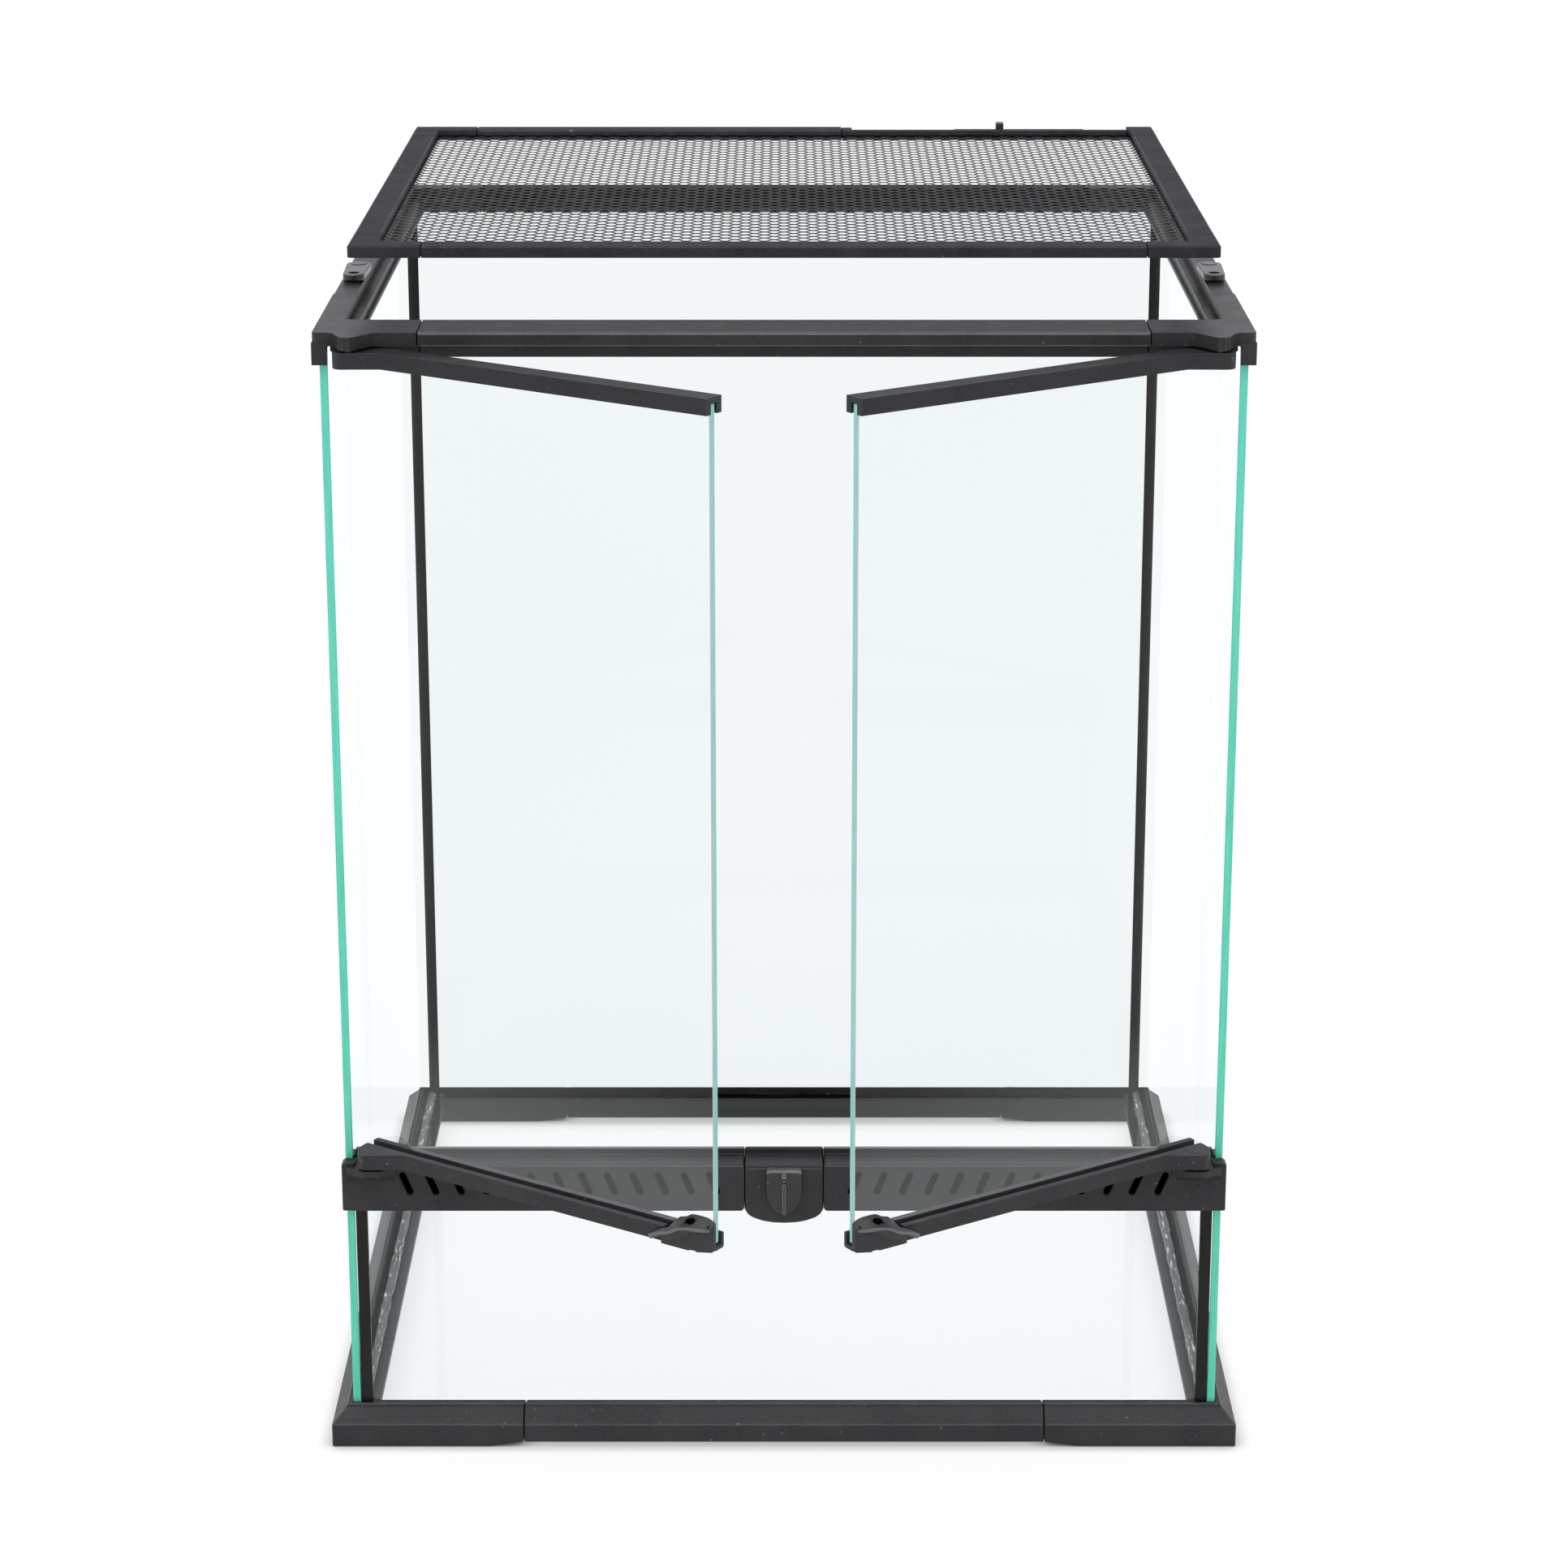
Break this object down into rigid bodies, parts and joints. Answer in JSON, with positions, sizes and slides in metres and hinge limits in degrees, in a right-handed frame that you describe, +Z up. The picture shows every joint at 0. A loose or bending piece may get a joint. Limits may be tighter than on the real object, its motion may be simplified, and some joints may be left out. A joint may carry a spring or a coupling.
{
  "type": "terrarium",
  "caption": "Front-opening glass terrarium with black moulded frames, hinged glass doors, a vented front strip with a turn lock, swivel latches and a lift-off screen lid.",
  "frame": {"origin": "centre of the footprint's bounding box in the stored pose (doors open, lid raised), on the surface the feet stand on", "axes": "+Z up, the doors face -Y, +X to the right as seen from the front"},
  "size_m": [0.471, 0.5862, 0.626],
  "materials": {
    "frame_plastic": "fine satin moulding texture",
    "hardware_plastic": "smooth satin black",
    "glass": "clear float glass with green polished edges",
    "door_glass": "clear float glass with green polished edges",
    "silicone": "black silicone, slightly glossy",
    "steel_pin": "plain steel",
    "screen_mesh": "black painted expanded metal"
  },
  "bodies": {
    "tank": {"base_corner_front_left": "frame_plastic", "base_corner_front_right": "frame_plastic", "base_corner_rear_left": "frame_plastic", "base_corner_rear_right": "frame_plastic", "base_rail_front": "frame_plastic", "base_rail_left": "frame_plastic", "base_rail_rear": "frame_plastic", "base_rail_right": "frame_plastic", "floor_pane": "glass", "front_seal_left": "silicone", "front_seal_right": "silicone", "lock_housing": "frame_plastic", "lower_front_pane": "glass", "rear_pane": "glass", "rear_seal_left": "silicone", "rear_seal_right": "silicone", "side_pane_left": "glass", "side_pane_right": "glass", "top_corner_front_left": "frame_plastic", "top_corner_front_right": "frame_plastic", "top_corner_rear_left": "frame_plastic", "top_corner_rear_right": "frame_plastic", "top_rail_front": "frame_plastic", "top_rail_left": "frame_plastic", "top_rail_rear": "frame_plastic", "top_rail_right": "frame_plastic", "vent_strip_left": "frame_plastic", "vent_strip_right": "frame_plastic"},
    "door_left": {"door_bottom_rail_left": "frame_plastic", "door_catch_left": "hardware_plastic", "door_pane_left": "door_glass", "door_top_rail_left": "frame_plastic", "hinge_pin_bottom_left": "steel_pin", "hinge_pin_top_left": "steel_pin"},
    "door_right": {"door_bottom_rail_right": "frame_plastic", "door_catch_right": "hardware_plastic", "door_pane_right": "door_glass", "door_top_rail_right": "frame_plastic", "hinge_pin_bottom_right": "steel_pin", "hinge_pin_top_right": "steel_pin"},
    "lid": {"cable_inlet": "frame_plastic", "lid_corner_front_left": "frame_plastic", "lid_corner_front_right": "frame_plastic", "lid_corner_rear_left": "frame_plastic", "lid_corner_rear_right": "frame_plastic", "lid_rail_front": "frame_plastic", "lid_rail_left": "frame_plastic", "lid_rail_rear": "frame_plastic", "lid_rail_right": "frame_plastic", "lid_screen": "screen_mesh"},
    "cable_shutter": {"cable_shutter": "hardware_plastic"},
    "lock_knob": {"lock_knob": "hardware_plastic", "lock_retaining_ring": "steel_pin"},
    "latch_front_left": {"latch_front_left": "hardware_plastic"},
    "latch_front_right": {"latch_front_right": "hardware_plastic"},
    "latch_rear_left": {"latch_rear_left": "hardware_plastic"},
    "latch_rear_right": {"latch_rear_right": "hardware_plastic"}
  },
  "joints": [
    {"name": "door_left_hinge", "type": "hinge", "parent": "tank", "child": "door_left", "pos_m": [-0.21, -0.1769, 0.157], "axis": [0, 0, -1], "range_deg": [-34, 76]},
    {"name": "door_right_hinge", "type": "hinge", "parent": "tank", "child": "door_right", "pos_m": [0.21, -0.1769, 0.157], "axis": [0, 0, 1], "range_deg": [-34, 76]},
    {"name": "lid_lift", "type": "slide", "parent": "tank", "child": "lid", "axis": [0, 0, 1], "range_m": [-0.036, 0.15]},
    {"name": "cable_shutter_slide", "type": "slide", "parent": "lid", "child": "cable_shutter", "axis": [-1, 0, 0], "range_m": [0, 0.052]},
    {"name": "lock_turn", "type": "hinge", "parent": "tank", "child": "lock_knob", "pos_m": [0, -0.1744, 0.1476], "axis": [0, 1, 0], "range_deg": [0, 180]},
    {"name": "latch_front_left_turn", "type": "hinge", "parent": "tank", "child": "latch_front_left", "pos_m": [-0.221, -0.0044, 0.587], "axis": [0, 0, 1], "range_deg": [0, 90]},
    {"name": "latch_rear_left_turn", "type": "hinge", "parent": "tank", "child": "latch_rear_left", "pos_m": [-0.221, 0.1876, 0.587], "axis": [0, 0, 1], "range_deg": [0, 90]},
    {"name": "latch_front_right_turn", "type": "hinge", "parent": "tank", "child": "latch_front_right", "pos_m": [0.221, -0.0044, 0.587], "axis": [0, 0, -1], "range_deg": [0, 90]},
    {"name": "latch_rear_right_turn", "type": "hinge", "parent": "tank", "child": "latch_rear_right", "pos_m": [0.221, 0.1876, 0.587], "axis": [0, 0, -1], "range_deg": [0, 90]}
  ]
}
